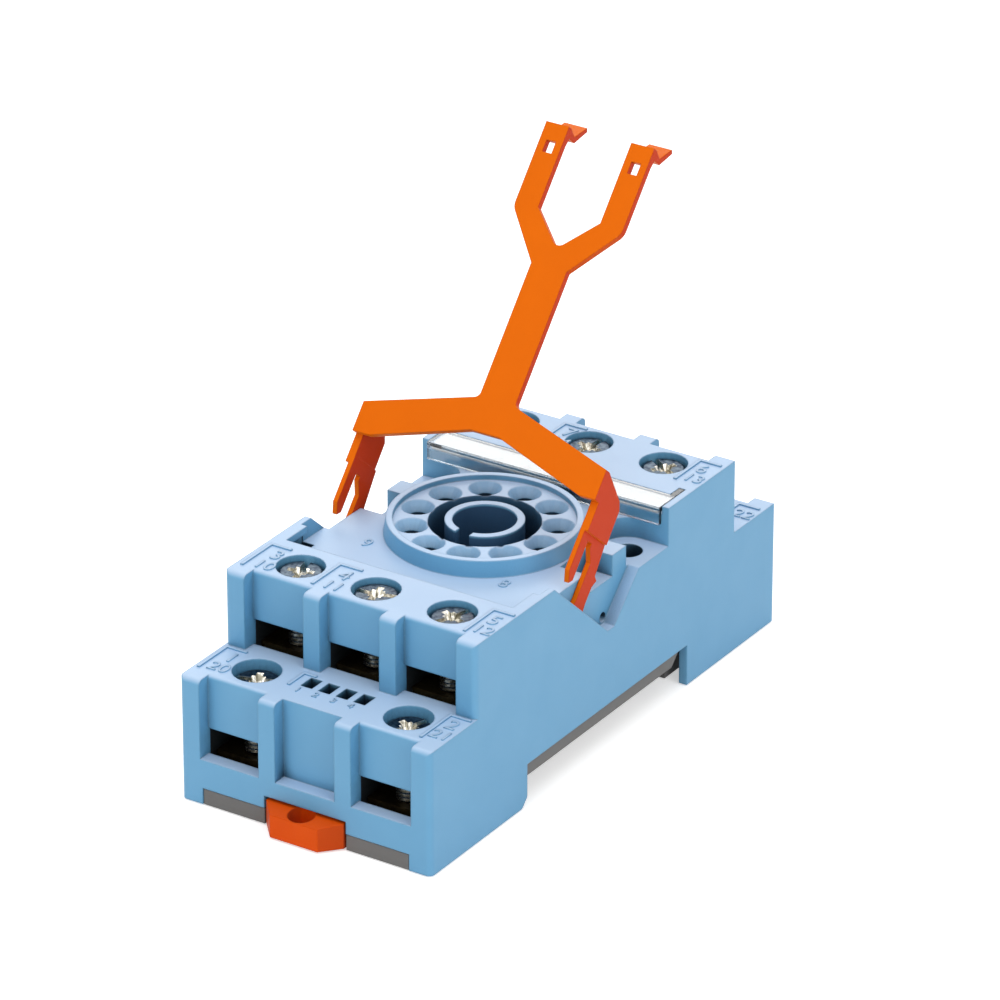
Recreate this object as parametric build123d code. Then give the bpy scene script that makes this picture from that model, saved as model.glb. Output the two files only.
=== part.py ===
from build123d import *
import os
from math import atan2, cos, degrees, hypot, radians, sin

os.makedirs("parts", exist_ok=True)

# Eleven-pin relay socket with screw terminals, for a 35 mm rail or a panel.
# +Z is up from the feet, -Y is the front with two lower terminals, and the pin
# ring is centred on the Z axis. All sizes are in millimetres.

# Housing, outside
width = 38.0
length = 83.0
corner_radius = 0.8
top_z = 28.0
step_z = 17.5
step_depth = 10.25
ring_deck_z = 25.4
ring_deck_front = -20.0
rear_block_front = 14.2
flank_sheet = 1.7

# Side walls beside the pin ring, and the vee cut in them
side_wall = 0.9
thick_wall = 1.8
thick_wall_end = -15.3
clip_slot_front = -10.0
vee_start = -13.1
vee_bottom_front = -0.4
vee_bottom_rear = 1.2
vee_bottom_z = 16.6
vee_shelf_start = 7.1
shelf_z = 22.5
flank_dimple_y = 1.0
flank_dimple_z = 17.5
flank_dimple_radius = 0.7
flank_dimple_depth = 0.8

# Rail notch and feet
notch_front = -19.35
notch_rear = 19.2
notch_z = 5.9
notch_corner = 1.2
foot_wall = 3.4
rear_foot_wall = 1.2

# Pin ring
ring_radius = 13.1
ring_draft = 0.35
ring_top_drop = 0.3
rim_width = 0.85
ring_floor_drop = 1.0
pin_count = 11
pin_circle = 9.5
pin_bore = 2.5
hole_sides = 16
funnel_mouth = 4.4
funnel_depth = 1.35
well_diameter = 14.7
well_floor_z = 12.0
well_wall = 1.0
key_tube_outer = 10.4
key_bore = 8.4
key_slot = 2.2
key_slot_x = -0.2
key_tube_rise = 0.3

# Gaps and pockets round the ring
cross_gap_front = -3.0
cross_gap_rear = 3.3
cross_gap_x = 13.4
cross_gap_z = 22.4
panel_hole_inset = 3.8
panel_hole_y = 10.4
panel_hole = 3.9
panel_pocket_radius = 3.8
panel_pocket_z = 22.5
panel_boss_wall = 1.1
left_pocket_width = 1.9
left_pocket_depth = 5.0

# Terminals
outer_terminal_inset = 7.5
upper_row_inset = 6.2
lower_row_inset = 6.45
bay_width = 9.0
bay_depth = 2.0
bay_wall = 1.2
bay_lip_radius = 0.5
entry_height = 3.6
lower_sill_z = 6.4
chamber_width = 9.0
chamber_inner = 3.5
chamber_headroom = 0.3
screw_hole = 6.4
screw_hole_sides = 24

# Terminal screws and clamp saddles
head_diameter = 5.9
head_height = 2.2
head_rise = 9.9
shank_diameter = 3.5
shank_length = 8.4
cross_width = 0.9
cross_depth = 1.1
thread_clearance = 0.06
saddle_width = 8.3
saddle_length = 6.2
saddle_web = 5.0
saddle_sheet = 0.9
saddle_lift = 0.1
saddle_play = 0.15
clamp_travel = 3.0

# Brass contacts
strip_sheet = 1.0
strip_width = 2.4
terminal_plate_width = 8.4
terminal_plate_length = 6.2
socket_leaf = 0.5
socket_gap = 2.3
socket_reach = 0.9
socket_bottom_z = 11.3
strip_play = 0.2

# Inside of the housing
cavity_wall = 3.3
cavity_roof_z = 20.8
low_cavity_roof_z = 14.6
upper_chamber_wall = 1.3

# Small openings for a link on the front step
link_count = 4
link_pitch = 2.67
link_width = 1.75
link_length = 2.5
link_depth = 6.0
link_x = 0.2
link_y = -34.1

# Base plate
plate_sheet = 2.2
plate_gap = 0.1
rail_seat_z = 3.9
seat_sheet = 1.2
seat_edge_inset = 0.4
seat_edge_end = 17.6
rail_slot_depth = 1.5
rail_slot_wall = 1.4
rail_lip_gap = 1.5
pad_width = 7.8
pad_length = 6.0
pad_hole = 4.4
snap_peg = 2.4

# Rail latch and its spring
latch_half = 5.9
latch_opening_z = 4.05
latch_play = 0.3
latch_floor_z = 0.1
latch_top_z = 3.6
latch_reach = 2.6
latch_nose_half = 3.6
latch_nose_z = 3.3
latch_tip_y = -12.9
beak_top_z = 2.6
beak_start = -15.4
flange_width = 0.9
flange_top_z = 3.6
flange_stop_gap = 0.1
flange_gap = 2.65
latch_travel = 3.0
latch_notch_radius = 1.8
tunnel_wall = 1.2
tunnel_roof = 0.8
spring_wire = 0.5
spring_diameter = 2.6
spring_turns = 6
spring_points = 8
spring_inset = 7.5
spring_length = 10.0
spring_seat = 1.0

# Retaining clip, drawn in its own plane: s runs up the plate, k runs behind it
clip_tilt = 40.9
clip_origin_y = -2.91
clip_origin_z = 36.26
clip_sheet = 1.0
clip_inset = 0.5
clip_leg = 1.1
bar_end_height = 4.1
bar_kink_x = 2.2
bar_kink_s = 4.3
stem_half = 2.7
stem_foot_s = 8.76
stem_foot_radius = 0.9
fork_bottom_radius = 1.2
fork_shoulder_radius = 2.0
fork_start_s = 27.5
fork_bottom_s = 30.1
fork_inner_x = 4.73
fork_inner_s = 34.8
fork_outer_x = 8.2
fork_outer_s = 34.1
fork_tip_s = 46.1
window_width = 1.4
window_height = 1.7
window_drop = 3.2
leg_front_k = 1.2
leg_rear_k = 7.2
leg_step_s = -3.9
slot_front_k = 3.0
slot_rear_k = 4.2
slot_top_s = -4.8
front_tine_s = -10.8
tine_foot_s = -12.0
rear_tine_front_k = 5.7
rear_tine_rear_k = 8.3
nub_k = 8.9
nub_s = -8.4
pivot_y = -7.4
pivot_z = 20.3
pivot_boss_radius = 1.9
pivot_diameter = 2.2
pivot_length = 1.2
pivot_clearance = 0.05
clip_side_play = 0.07

# Marker strip on the rear block
marker_inset = 1.1
marker_depth = 3.5
marker_rail_end = 19.9
marker_rail_width = 0.8
marker_sheet = 0.7
marker_lip = 0.6
marker_lip_gap = 0.1
card_sheet = 0.3
card_margin = 0.5
marker_play = 0.1

# Sizes that follow from the ones above
half_width = width / 2
half_length = length / 2
step_face = half_length - step_depth
upper_row = step_face - upper_row_inset
lower_row = half_length - lower_row_inset
wall_inner_x = half_width - side_wall
flank_x = half_width - flank_sheet
panel_hole_x = half_width - panel_hole_inset
terminal_pitch = half_width - outer_terminal_inset
cavity_half = half_width - cavity_wall
plate_half = cavity_half - plate_gap
seat_edge_x = half_width - seat_edge_inset
clip_half = half_width - clip_inset
marker_half = half_width - marker_inset
latch_nose_y = -half_length - latch_reach
flange_front = -half_length + bay_depth + bay_wall + latch_travel + flange_stop_gap
flange_rear = notch_front - flange_gap
spring_front = -half_length + spring_inset
spring_rear = spring_front + spring_length
ring_top_z = top_z - ring_top_drop
ring_floor_z = top_z - ring_floor_drop
clip_foot_sheet = wall_inner_x - flank_x - 2 * clip_side_play
clip_foot_x = flank_x + clip_side_play


def block(x0, x1, y0, y1, z0, z1):
    """Box given by its two corners."""
    middle = ((x0 + x1) / 2, (y0 + y1) / 2, (z0 + z1) / 2)
    return Pos(*middle) * Box(x1 - x0, y1 - y0, z1 - z0)


def post(x, y, z0, z1, radius):
    """Upright cylinder between two heights."""
    return Pos(x, y, (z0 + z1) / 2) * Cylinder(radius, z1 - z0)


def facet_hole(x, y, z0, z1, radius, sides=hole_sides):
    """Upright hole drawn with flat sides that touch the given radius."""
    outline = RegularPolygon(radius, sides, major_radius=False)
    return Pos(x, y, z0) * extrude(outline, amount=z1 - z0)


def side_profile(points, x0, x1):
    """Outline given as (y, z) points, extruded along X."""
    outline = Plane.YZ.offset(x0) * make_face(Polyline(*points, close=True))
    return extrude(outline, amount=x1 - x0)


def both_sides(shape):
    """The shape and its mirror image across the middle plane."""
    return shape + mirror(shape, about=Plane.YZ)


class Terminal:
    """Place of one screw terminal: x, which end of the socket, and which level."""

    def __init__(self, x, end, lower):
        self.x = x
        self.end = end
        self.lower = lower
        self.face = end * (half_length if lower else step_face)
        self.row = end * (lower_row if lower else upper_row)
        self.top = step_z if lower else top_z
        self.sill = lower_sill_z if lower else step_z
        self.bay_back = self.face - end * bay_depth
        self.chamber_front = self.bay_back - end * bay_wall
        self.chamber_rear = self.row - end * chamber_inner
        self.head_top = self.sill + head_rise
        self.under_head = self.head_top - head_height
        self.plate_front = self.row + end * min(
            terminal_plate_length / 2, abs(self.chamber_front - self.row) - plate_gap
        )
        self.plate_rear = self.row - end * terminal_plate_length / 2


def span(a, b):
    """Two limits in rising order."""
    return (min(a, b), max(a, b))


terminals = [
    Terminal(x * terminal_pitch, -1, True) for x in (-1, 1)
] + [
    Terminal(x * terminal_pitch, -1, False) for x in (-1, 0, 1)
] + [
    Terminal(x * terminal_pitch, 1, lower) for lower in (False, True) for x in (-1, 0, 1)
]

# Angle of each terminal's pin from the front of the ring, in pin steps.
# The key slot faces the front, midway between two pins.
pin_step = 360 / pin_count
pin_of_terminal = [-2.5, 0.5, -1.5, -0.5, 1.5, -3.5, 5.5, 3.5, -4.5, 4.5, 2.5]


def pin_point(steps, radius=pin_circle):
    """Point on the ring at an angle counted in pin steps from the front."""
    angle = radians(steps * pin_step)
    return (radius * sin(angle), -radius * cos(angle))


def terminal_cuts(t):
    """What one terminal takes out of the housing: bay, wire entry, chamber and screw hole."""
    y0, y1 = span(t.face + t.end, t.bay_back)
    bay = block(t.x - bay_width / 2, t.x + bay_width / 2, y0, y1, t.sill, t.top + 1)
    lip = t.bay_back - t.end * bay_lip_radius
    y0, y1 = span(t.bay_back, lip)
    bay += block(
        t.x - bay_width / 2, t.x + bay_width / 2, y0, y1, t.top - bay_lip_radius, t.top + 1
    ) - Pos(t.x, lip, t.top - bay_lip_radius) * Rot(Y=90) * Cylinder(bay_lip_radius, bay_width)
    y0, y1 = span(t.bay_back, t.chamber_front)
    entry = block(
        t.x - bay_width / 2, t.x + bay_width / 2, y0, y1, t.sill - strip_sheet, t.sill + entry_height
    )
    y0, y1 = span(t.chamber_front, t.chamber_rear)
    roof = t.under_head + chamber_headroom
    chamber = block(
        t.x - chamber_width / 2, t.x + chamber_width / 2, y0, y1, t.sill - strip_sheet, roof
    )
    access = facet_hole(t.x, t.row, roof, t.top + 1, screw_hole / 2, screw_hole_sides)
    tip = t.under_head - shank_length - clamp_travel - latch_play
    relief = block(
        t.x - pad_hole / 2, t.x + pad_hole / 2, t.row - pad_hole / 2, t.row + pad_hole / 2,
        tip, t.sill,
    )
    return bay + entry + chamber + access + relief


def housing_outline():
    """Side view of the moulding, without its notches and bays."""
    points = [
        (-half_length, 0),
        (-half_length, step_z),
        (-step_face, step_z),
        (-step_face, top_z),
        (step_face, top_z),
        (step_face, step_z),
        (half_length, step_z),
        (half_length, 0),
        (notch_rear, 0),
        (notch_rear, notch_z),
        (notch_front, notch_z),
        (notch_front, notch_corner),
        (notch_front - notch_corner, 0),
    ]
    body = side_profile(points, -half_width, half_width)
    corners = []
    for edge in body.edges():
        c = edge.center()
        upright = abs((edge @ 1 - edge @ 0).Z) > 1
        on_step = abs(abs(c.Y) - half_length) < 0.01 or abs(abs(c.Y) - step_face) < 0.01
        across = abs((edge @ 1 - edge @ 0).X) > 1
        above = min(abs(c.Z - step_z), abs(c.Z - top_z)) < 0.01
        inner = abs(abs(c.Y) - step_face) < 0.01 and abs(c.Z - step_z) < 0.01
        if on_step and ((upright and abs(c.X) > 1) or (across and above and not inner)):
            corners.append(edge)
    return fillet(corners, corner_radius)


def ring_deck_cut():
    """Room above the deck round the pin ring, with the ring left standing."""
    room = block(
        -half_width + thick_wall, half_width - thick_wall,
        ring_deck_front, thick_wall_end, ring_deck_z, top_z + 1,
    )
    room += block(
        -wall_inner_x, wall_inner_x, thick_wall_end, clip_slot_front, ring_deck_z, top_z + 1
    )
    room += block(-flank_x, flank_x, clip_slot_front, rear_block_front, ring_deck_z, top_z + 1)
    cone = Pos(0, 0, (ring_deck_z + ring_top_z) / 2) * Cone(
        ring_radius, ring_radius - ring_draft, ring_top_z - ring_deck_z
    )
    return room - cone


def ring_cuts():
    """Recess inside the rim, the key well, and the pin funnels and bores."""
    rim_inner = ring_radius - ring_draft - rim_width
    tube_top = ring_floor_z + key_tube_rise
    cuts = post(0, 0, ring_floor_z, top_z + 1, rim_inner)
    cuts += post(0, 0, well_floor_z, ring_floor_z, well_diameter / 2)
    tube = post(0, 0, well_floor_z, tube_top, key_tube_outer / 2)
    tube -= post(0, 0, well_floor_z, tube_top, key_bore / 2)
    tube -= block(
        key_slot_x - key_slot / 2, key_slot_x + key_slot / 2,
        -key_tube_outer, 0, well_floor_z, tube_top,
    )
    cuts -= tube
    for i in range(pin_count):
        x, y = pin_point(i + 0.5)
        neck = RegularPolygon(pin_bore / 2, hole_sides, major_radius=False)
        mouth = RegularPolygon(funnel_mouth / 2, hole_sides, major_radius=False)
        funnel = loft([neck, Pos(0, 0, funnel_depth) * mouth], ruled=True)
        cuts += Pos(x, y, ring_floor_z - funnel_depth) * funnel
        cuts += facet_hole(x, y, cavity_roof_z - 1, ring_floor_z, pin_bore / 2)
    return cuts


def deck_cuts():
    """Cross gaps, panel screw pockets and the left pocket, in the deck round the ring."""
    gap = block(
        cross_gap_x, half_width, cross_gap_front, cross_gap_rear, cross_gap_z, top_z
    ) - post(0, 0, cross_gap_z, top_z, ring_radius)
    pocket = post(panel_hole_x, panel_hole_y, panel_pocket_z, top_z, panel_pocket_radius)
    pocket += block(
        panel_hole_x, half_width + 1,
        panel_hole_y - panel_pocket_radius, rear_block_front, panel_pocket_z, top_z,
    )
    hole = post(panel_hole_x, panel_hole_y, 0, top_z, panel_hole / 2)
    cuts = both_sides(gap + pocket - post(0, 0, 0, top_z, ring_radius) + hole)
    left = -half_width + thick_wall
    return cuts + block(
        left - 1, left - 1 + left_pocket_width,
        ring_deck_front, ring_deck_front + left_pocket_depth, cavity_roof_z - 2, top_z - 1,
    )


def side_cuts():
    """Vee openings in the side walls, clip slots behind them, and clip pivot bores."""
    shelf_end = rear_block_front
    vee = side_profile(
        [
            (vee_start, top_z),
            (vee_bottom_front, vee_bottom_z),
            (vee_bottom_rear, vee_bottom_z),
            (vee_shelf_start, shelf_z),
            (shelf_end, shelf_z),
            (shelf_end, top_z + 1),
            (vee_start, top_z + 1),
        ],
        flank_x, half_width + 1,
    )
    slot = block(
        flank_x, wall_inner_x, clip_slot_front, vee_bottom_rear, vee_bottom_z, top_z + 1
    )
    bore_end = clip_foot_x - pivot_length - clip_side_play
    middle = (bore_end + flank_x) / 2
    bore = Pos(middle, pivot_y, pivot_z) * Rot(Y=90) * Cylinder(
        pivot_diameter / 2 + pivot_clearance, flank_x - bore_end + 0.02
    )
    dimple = extrude(RegularPolygon(flank_dimple_radius, hole_sides), amount=2 * flank_dimple_depth)
    dimple = Pos(flank_x - flank_dimple_depth, flank_dimple_y, flank_dimple_z) * Rot(Y=90) * dimple
    return both_sides(vee + slot + bore + dimple)


def link_cuts():
    """Row of four small openings in the lower front step."""
    cuts = Part()
    for i in range(link_count):
        x = link_x + (i - (link_count - 1) / 2) * link_pitch
        cuts += block(
            x - link_width / 2, x + link_width / 2,
            link_y - link_length / 2, link_y + link_length / 2, step_z - link_depth, step_z + 1,
        )
    return cuts


def inner_cavity():
    """Room for the contacts, open below, with the key well and the screw bosses left standing."""
    chamber_rear = upper_row - chamber_inner - upper_chamber_wall
    room = block(
        -cavity_half, cavity_half, -chamber_rear, chamber_rear, rail_seat_z, cavity_roof_z
    )
    low = lower_row - chamber_inner
    room += block(
        -cavity_half, cavity_half, -low, low, rail_seat_z, low_cavity_roof_z
    )
    wall = post(0, 0, well_floor_z - well_wall, cavity_roof_z, well_diameter / 2 + well_wall)
    boss_half = panel_hole / 2 + panel_boss_wall
    boss = block(
        panel_hole_x - boss_half, half_width, panel_hole_y - boss_half, panel_hole_y + boss_half,
        rail_seat_z + seat_sheet, top_z,
    )
    return room - wall - both_sides(boss)


def foot_cuts():
    """Room in both feet for the base plate and the latch."""
    pocket_top = lower_sill_z - strip_sheet
    inner = half_length - bay_depth - bay_wall
    cuts = block(
        -plate_half - plate_gap, plate_half + plate_gap,
        -half_length - 1, half_length + 1, -1, plate_sheet + plate_gap,
    )
    cuts += block(
        -cavity_half, cavity_half, -inner, inner, 0, pocket_top
    )
    cuts += block(
        -half_width + rear_foot_wall, half_width - rear_foot_wall,
        notch_rear - 1, inner, -1, pocket_top,
    )
    cuts += block(
        -latch_half - latch_play, latch_half + latch_play,
        -half_length - 1, -inner, -1, latch_opening_z,
    )
    return cuts


def marker_cuts():
    """Seat for the marker strip along the front edge of the rear block."""
    depth = marker_sheet + card_sheet + marker_play
    seat = block(
        -marker_half - marker_play, marker_half + marker_play,
        rear_block_front - 1, rear_block_front + marker_depth + marker_play,
        top_z - depth, top_z + 1,
    )
    rail = block(
        marker_half - marker_rail_width - marker_play, marker_half + marker_play,
        rear_block_front - 1, marker_rail_end + marker_play, top_z - marker_sheet, top_z + 1,
    )
    return seat + both_sides(rail)


def strip_path(t, steps):
    """Plan of one contact strip, from its pin to its terminal plate."""
    start = pin_point(steps, pin_circle + socket_reach + socket_leaf)
    lane = t.x - t.x / terminal_pitch * (terminal_plate_width - strip_width) / 2
    if abs(start[0]) > abs(lane) - strip_width and start[0] * t.x >= 0 and t.x != 0:
        lane = max(abs(start[0]), abs(lane)) * (1 if t.x > 0 else -1)
    if t.x == 0:
        reach = (terminal_plate_width - strip_width) / 2
        lane = max(-reach, min(reach, start[0]))
    bend = start[1] + t.end * abs(lane - start[0])
    path = [start, (lane, bend), (lane, t.row)]
    return path


def flat_strip(path, strip, z0, z1):
    """Flat strip of one width along a path in plan, each run carried on past its corner."""
    shape = Part()
    for a, b in zip(path, path[1:]):
        run = hypot(b[0] - a[0], b[1] - a[1])
        if run < strip / 8:
            continue
        turn = degrees(atan2(b[1] - a[1], b[0] - a[0]))
        middle = Pos((a[0] + b[0]) / 2, (a[1] + b[1]) / 2, (z0 + z1) / 2)
        shape += middle * Rot(Z=turn) * Box(run + strip * 0.4, strip, z1 - z0)
    return shape


def make_contact(t, steps):
    """Stamped brass contact: a fork for the pin, a strip, and a tapped plate under the screw."""
    z0 = t.sill - strip_sheet
    half_gap = socket_gap / 2
    top = cavity_roof_z - strip_play
    bottom = z0 if t.lower else socket_bottom_z
    leaf = block(-socket_reach, socket_reach, half_gap, half_gap + socket_leaf, socket_bottom_z, top)
    fork = leaf + mirror(leaf, about=Plane.XZ)
    outer = half_gap + socket_leaf
    fork += block(socket_reach, socket_reach + socket_leaf, -outer, outer, bottom, top)
    x, y = pin_point(steps)
    fork = Pos(x, y, 0) * Rot(Z=steps * pin_step - 90) * fork
    strip = flat_strip(strip_path(t, steps), strip_width, z0, t.sill)
    y0, y1 = span(t.plate_front, t.plate_rear)
    plate = block(
        t.x - terminal_plate_width / 2, t.x + terminal_plate_width / 2, y0, y1, z0, t.sill
    )
    tapped = facet_hole(
        t.x, t.row, z0 - 1, t.sill + 1, shank_diameter / 2 + thread_clearance
    )
    return fork + strip + plate - tapped


def strip_slot(t, steps):
    """Way for a contact strip through the wall behind its chamber."""
    path = strip_path(t, steps)
    z0 = t.sill - strip_sheet
    lane = path[-1][0]
    inner = t.row - t.end * (chamber_inner + upper_chamber_wall + 1)
    y0, y1 = span(inner, t.row)
    room = strip_width / 2 + strip_play
    return block(lane - room, lane + room, y0, y1, z0, t.sill + strip_play)


def make_housing():
    """The blue moulding that carries everything else."""
    body = housing_outline()
    body -= ring_deck_cut()
    body -= side_cuts()
    body -= deck_cuts()
    body -= ring_cuts()
    body -= inner_cavity()
    body -= foot_cuts()
    for t, steps in zip(terminals, pin_of_terminal):
        body -= terminal_cuts(t)
        body -= strip_slot(t, steps)
    blind_back = -half_length + bay_depth
    body -= block(
        -bay_width / 2, bay_width / 2, -half_length - 1, blind_back, lower_sill_z, step_z + 1
    )
    body -= link_cuts()
    body -= marker_cuts()
    return body


def make_screw(t):
    """Pan-head terminal screw with a cross recess and a shank drawn with flat sides."""
    head = post(t.x, t.row, t.under_head, t.head_top, head_diameter / 2)
    for turn in (45, 135):
        blade = Box(head_diameter * 0.72, cross_width, cross_depth * 2)
        head -= Pos(t.x, t.row, t.head_top) * Rot(Z=turn) * blade
    tip = t.under_head - shank_length
    shank = extrude(RegularPolygon(shank_diameter / 2, hole_sides), amount=shank_length)
    return head + Pos(t.x, t.row, tip) * shank


def make_saddle(t):
    """Hat-shaped clamp saddle under a screw head, with two feet that press the wires."""
    web_top = t.under_head - saddle_play
    foot_z = t.sill + entry_height + saddle_lift
    s = saddle_sheet
    half_web = saddle_web / 2
    half = saddle_width / 2
    points = [
        (-half, foot_z), (-half_web + s, foot_z), (-half_web + s, web_top - s),
        (half_web - s, web_top - s), (half_web - s, foot_z), (half, foot_z),
        (half, foot_z + s), (half_web, foot_z + s), (half_web, web_top),
        (-half_web, web_top), (-half_web, foot_z + s), (-half, foot_z + s),
    ]
    outline = Plane.XZ * make_face(Polyline(*points, close=True))
    front = min(saddle_length / 2, abs(t.chamber_front - t.row) - latch_play)
    hat = extrude(outline, amount=front + saddle_length / 2)
    near = t.row + (saddle_length / 2 if t.end < 0 else front)
    hat = Pos(t.x, near, 0) * hat
    bore = facet_hole(t.x, t.row, t.sill, web_top + 1, shank_diameter / 2 + saddle_play)
    return hat - bore


def make_base_plate():
    """Grey plate under the housing, with the rail seat, the latch tunnel and the contact pads."""
    inner = half_length - bay_depth - bay_wall - plate_gap
    seat_top = rail_seat_z + seat_sheet
    tunnel_half = latch_half + flange_width + latch_play
    plate = block(
        -plate_half, plate_half, -half_length + plate_gap, notch_front, 0, plate_sheet
    )
    plate += block(
        -plate_half, plate_half, notch_rear, half_length - plate_gap, 0, plate_sheet
    )
    plate += block(
        -cavity_half + plate_gap, cavity_half - plate_gap,
        notch_front - rail_slot_wall, notch_rear + rail_slot_depth + rail_slot_wall,
        rail_seat_z, seat_top,
    )
    edge = block(
        cavity_half - plate_gap - seat_sheet, seat_edge_x,
        notch_front + plate_gap, seat_edge_end, rail_seat_z, notch_z - plate_gap,
    )
    edge = chamfer(edge.edges().filter_by(Axis.X).group_by(Axis.Y)[-1].group_by(Axis.Z)[0], 1.6)
    plate += both_sides(edge)
    plate += block(
        -plate_half, plate_half, notch_front - rail_slot_wall, notch_front, plate_sheet, seat_top
    )
    plate += block(
        -plate_half, plate_half, notch_rear + rail_slot_depth,
        notch_rear + rail_slot_depth + rail_slot_wall, plate_sheet, seat_top,
    )
    tunnel = block(
        -tunnel_half - tunnel_wall, tunnel_half + tunnel_wall,
        -inner, notch_front, plate_sheet, lower_sill_z - strip_sheet - plate_gap,
    )
    plate += tunnel
    for t in terminals:
        if t.lower:
            pad = block(
                t.x - pad_width / 2, t.x + pad_width / 2,
                t.row - pad_length / 2, t.row + pad_length / 2,
                plate_sheet, lower_sill_z - strip_sheet,
            )
            plate += pad
    plate -= block(
        -latch_half - latch_play, latch_half + latch_play,
        -half_length, notch_front + 1, -1, latch_top_z + latch_play,
    )
    plate -= block(
        -tunnel_half, tunnel_half, -inner - 1, notch_front - rail_slot_wall + 0.2,
        plate_sheet, flange_top_z + latch_play,
    )
    plate -= block(
        -latch_half - latch_play, latch_half + latch_play,
        notch_front - 1, notch_front + 1, -1, rail_seat_z,
    )
    plate += block(
        -spring_diameter / 2, spring_diameter / 2, spring_front - spring_seat, spring_front,
        latch_floor_z + 2 * latch_play, latch_top_z + 2 * latch_play,
    )
    for t in terminals:
        if t.lower:
            plate -= block(
                t.x - pad_hole / 2, t.x + pad_hole / 2,
                t.row - pad_hole / 2, t.row + pad_hole / 2, plate_sheet, lower_sill_z,
            )
    holes = both_sides(post(panel_hole_x, panel_hole_y, 0, top_z, panel_hole / 2))
    return plate - holes


def make_latch():
    """Orange slide that locks the rail: pull nose, guide flanges and sprung beak."""
    floor = latch_floor_z
    inner = -half_length
    plan = make_face(Polyline(
        (-latch_nose_half, latch_nose_y), (latch_nose_half, latch_nose_y),
        (latch_half, inner), (latch_half, beak_start), (-latch_half, beak_start),
        (-latch_half, inner), close=True,
    ))
    body = Pos(0, 0, floor) * extrude(plan, amount=latch_top_z - floor)
    slope = side_profile(
        [
            (latch_nose_y - 1, latch_nose_z - 0.3), (latch_nose_y, latch_nose_z),
            (inner, latch_top_z), (inner, latch_top_z + 1), (latch_nose_y - 1, latch_top_z + 1),
        ],
        -latch_half, latch_half,
    )
    body -= slope
    beak = side_profile(
        [
            (beak_start - 1, floor), (beak_start + 0.6, floor), (latch_tip_y, beak_top_z - 0.9),
            (latch_tip_y, beak_top_z), (beak_start - 1, beak_top_z),
        ],
        -latch_half, latch_half,
    )
    body += beak
    half = latch_half + flange_width
    body += block(
        -half, half, flange_front, flange_rear, plate_sheet + latch_play, flange_top_z
    )
    body -= post(0, inner - 0.7, floor + 1, latch_top_z + 1, latch_notch_radius)
    pocket_half = spring_diameter / 2 + latch_play
    body -= block(
        -pocket_half, pocket_half, spring_front - spring_seat - latch_play,
        spring_rear, floor + latch_play, latch_top_z + 1,
    )
    return body


def make_spring():
    """Compression spring that pushes the latch towards the rail, drawn in short straight runs."""
    middle_z = latch_top_z - spring_diameter / 2
    radius = (spring_diameter - spring_wire) / 2
    runs = spring_turns * spring_points
    step = (spring_length - spring_wire) / runs
    points = []
    for n in range(runs + 1):
        a = radians(360 * n / spring_points)
        y = spring_front + spring_wire / 2 + n * step
        points.append((radius * sin(a), y, middle_z + radius * cos(a)))
    path = Polyline(*points)
    section = Plane(origin=path @ 0, z_dir=path % 0) * Rectangle(spring_wire, spring_wire)
    return sweep(section, path=path, transition=Transition.RIGHT)


def clip_point(k, s):
    """Point of the clip's own plane as (y, z)."""
    a = radians(clip_tilt)
    y = clip_origin_y + s * sin(a) + k * cos(a)
    z = clip_origin_z + s * cos(a) - k * sin(a)
    return (y, z)


def clip_plate():
    """Flat front of the clip: bar, stem and two fork tines with a window near each tip."""
    half_outline = [
        (0, 0), (clip_half, 0), (clip_half, bar_end_height),
        (stem_half, stem_foot_s), (stem_half, fork_start_s), (fork_outer_x, fork_outer_s),
        (fork_outer_x, fork_tip_s), (fork_inner_x, fork_tip_s), (fork_inner_x, fork_inner_s),
        (0, fork_bottom_s),
    ]
    face = make_face(Polyline(*half_outline, close=True))
    face += mirror(face, about=Plane.YZ)
    corners = face.vertices()
    foot = corners.filter_by(lambda v: abs(v.Y - stem_foot_s) < 0.01)
    face = fillet(foot, stem_foot_radius)
    corners = face.vertices()
    bottom = corners.filter_by(lambda v: abs(v.Y - fork_bottom_s) < 0.01)
    face = fillet(bottom, fork_bottom_radius)
    corners = face.vertices()
    shoulder = corners.filter_by(lambda v: abs(v.Y - fork_outer_s) < 0.01)
    face = fillet(shoulder, fork_shoulder_radius)
    under = make_face(Polyline(
        (-clip_half + 2.5, 0), (-bar_kink_x, bar_kink_s), (bar_kink_x, bar_kink_s),
        (clip_half - 2.5, 0), (0, -1), close=True,
    ))
    face -= under
    tine = (fork_inner_x + fork_outer_x) / 2
    window = Rectangle(window_width, window_height)
    for side in (-1, 1):
        face -= Pos(side * tine, fork_tip_s - window_drop) * window
    return extrude(face, amount=clip_sheet)


def clip_hook():
    """Hook across the top of one tine, pointing rearward."""
    points = [
        (0, 0), (1.0, -0.1), (2.3, -0.6), (4.5, 1.5), (4.9, 1.1),
        (2.8, -1.3), (1.25, -1.3), (1.0, -2.4), (0, -2.4),
    ]
    outline = [clip_point(k, fork_tip_s + m) for k, m in points]
    return side_profile(outline, fork_inner_x, fork_outer_x)


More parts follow.
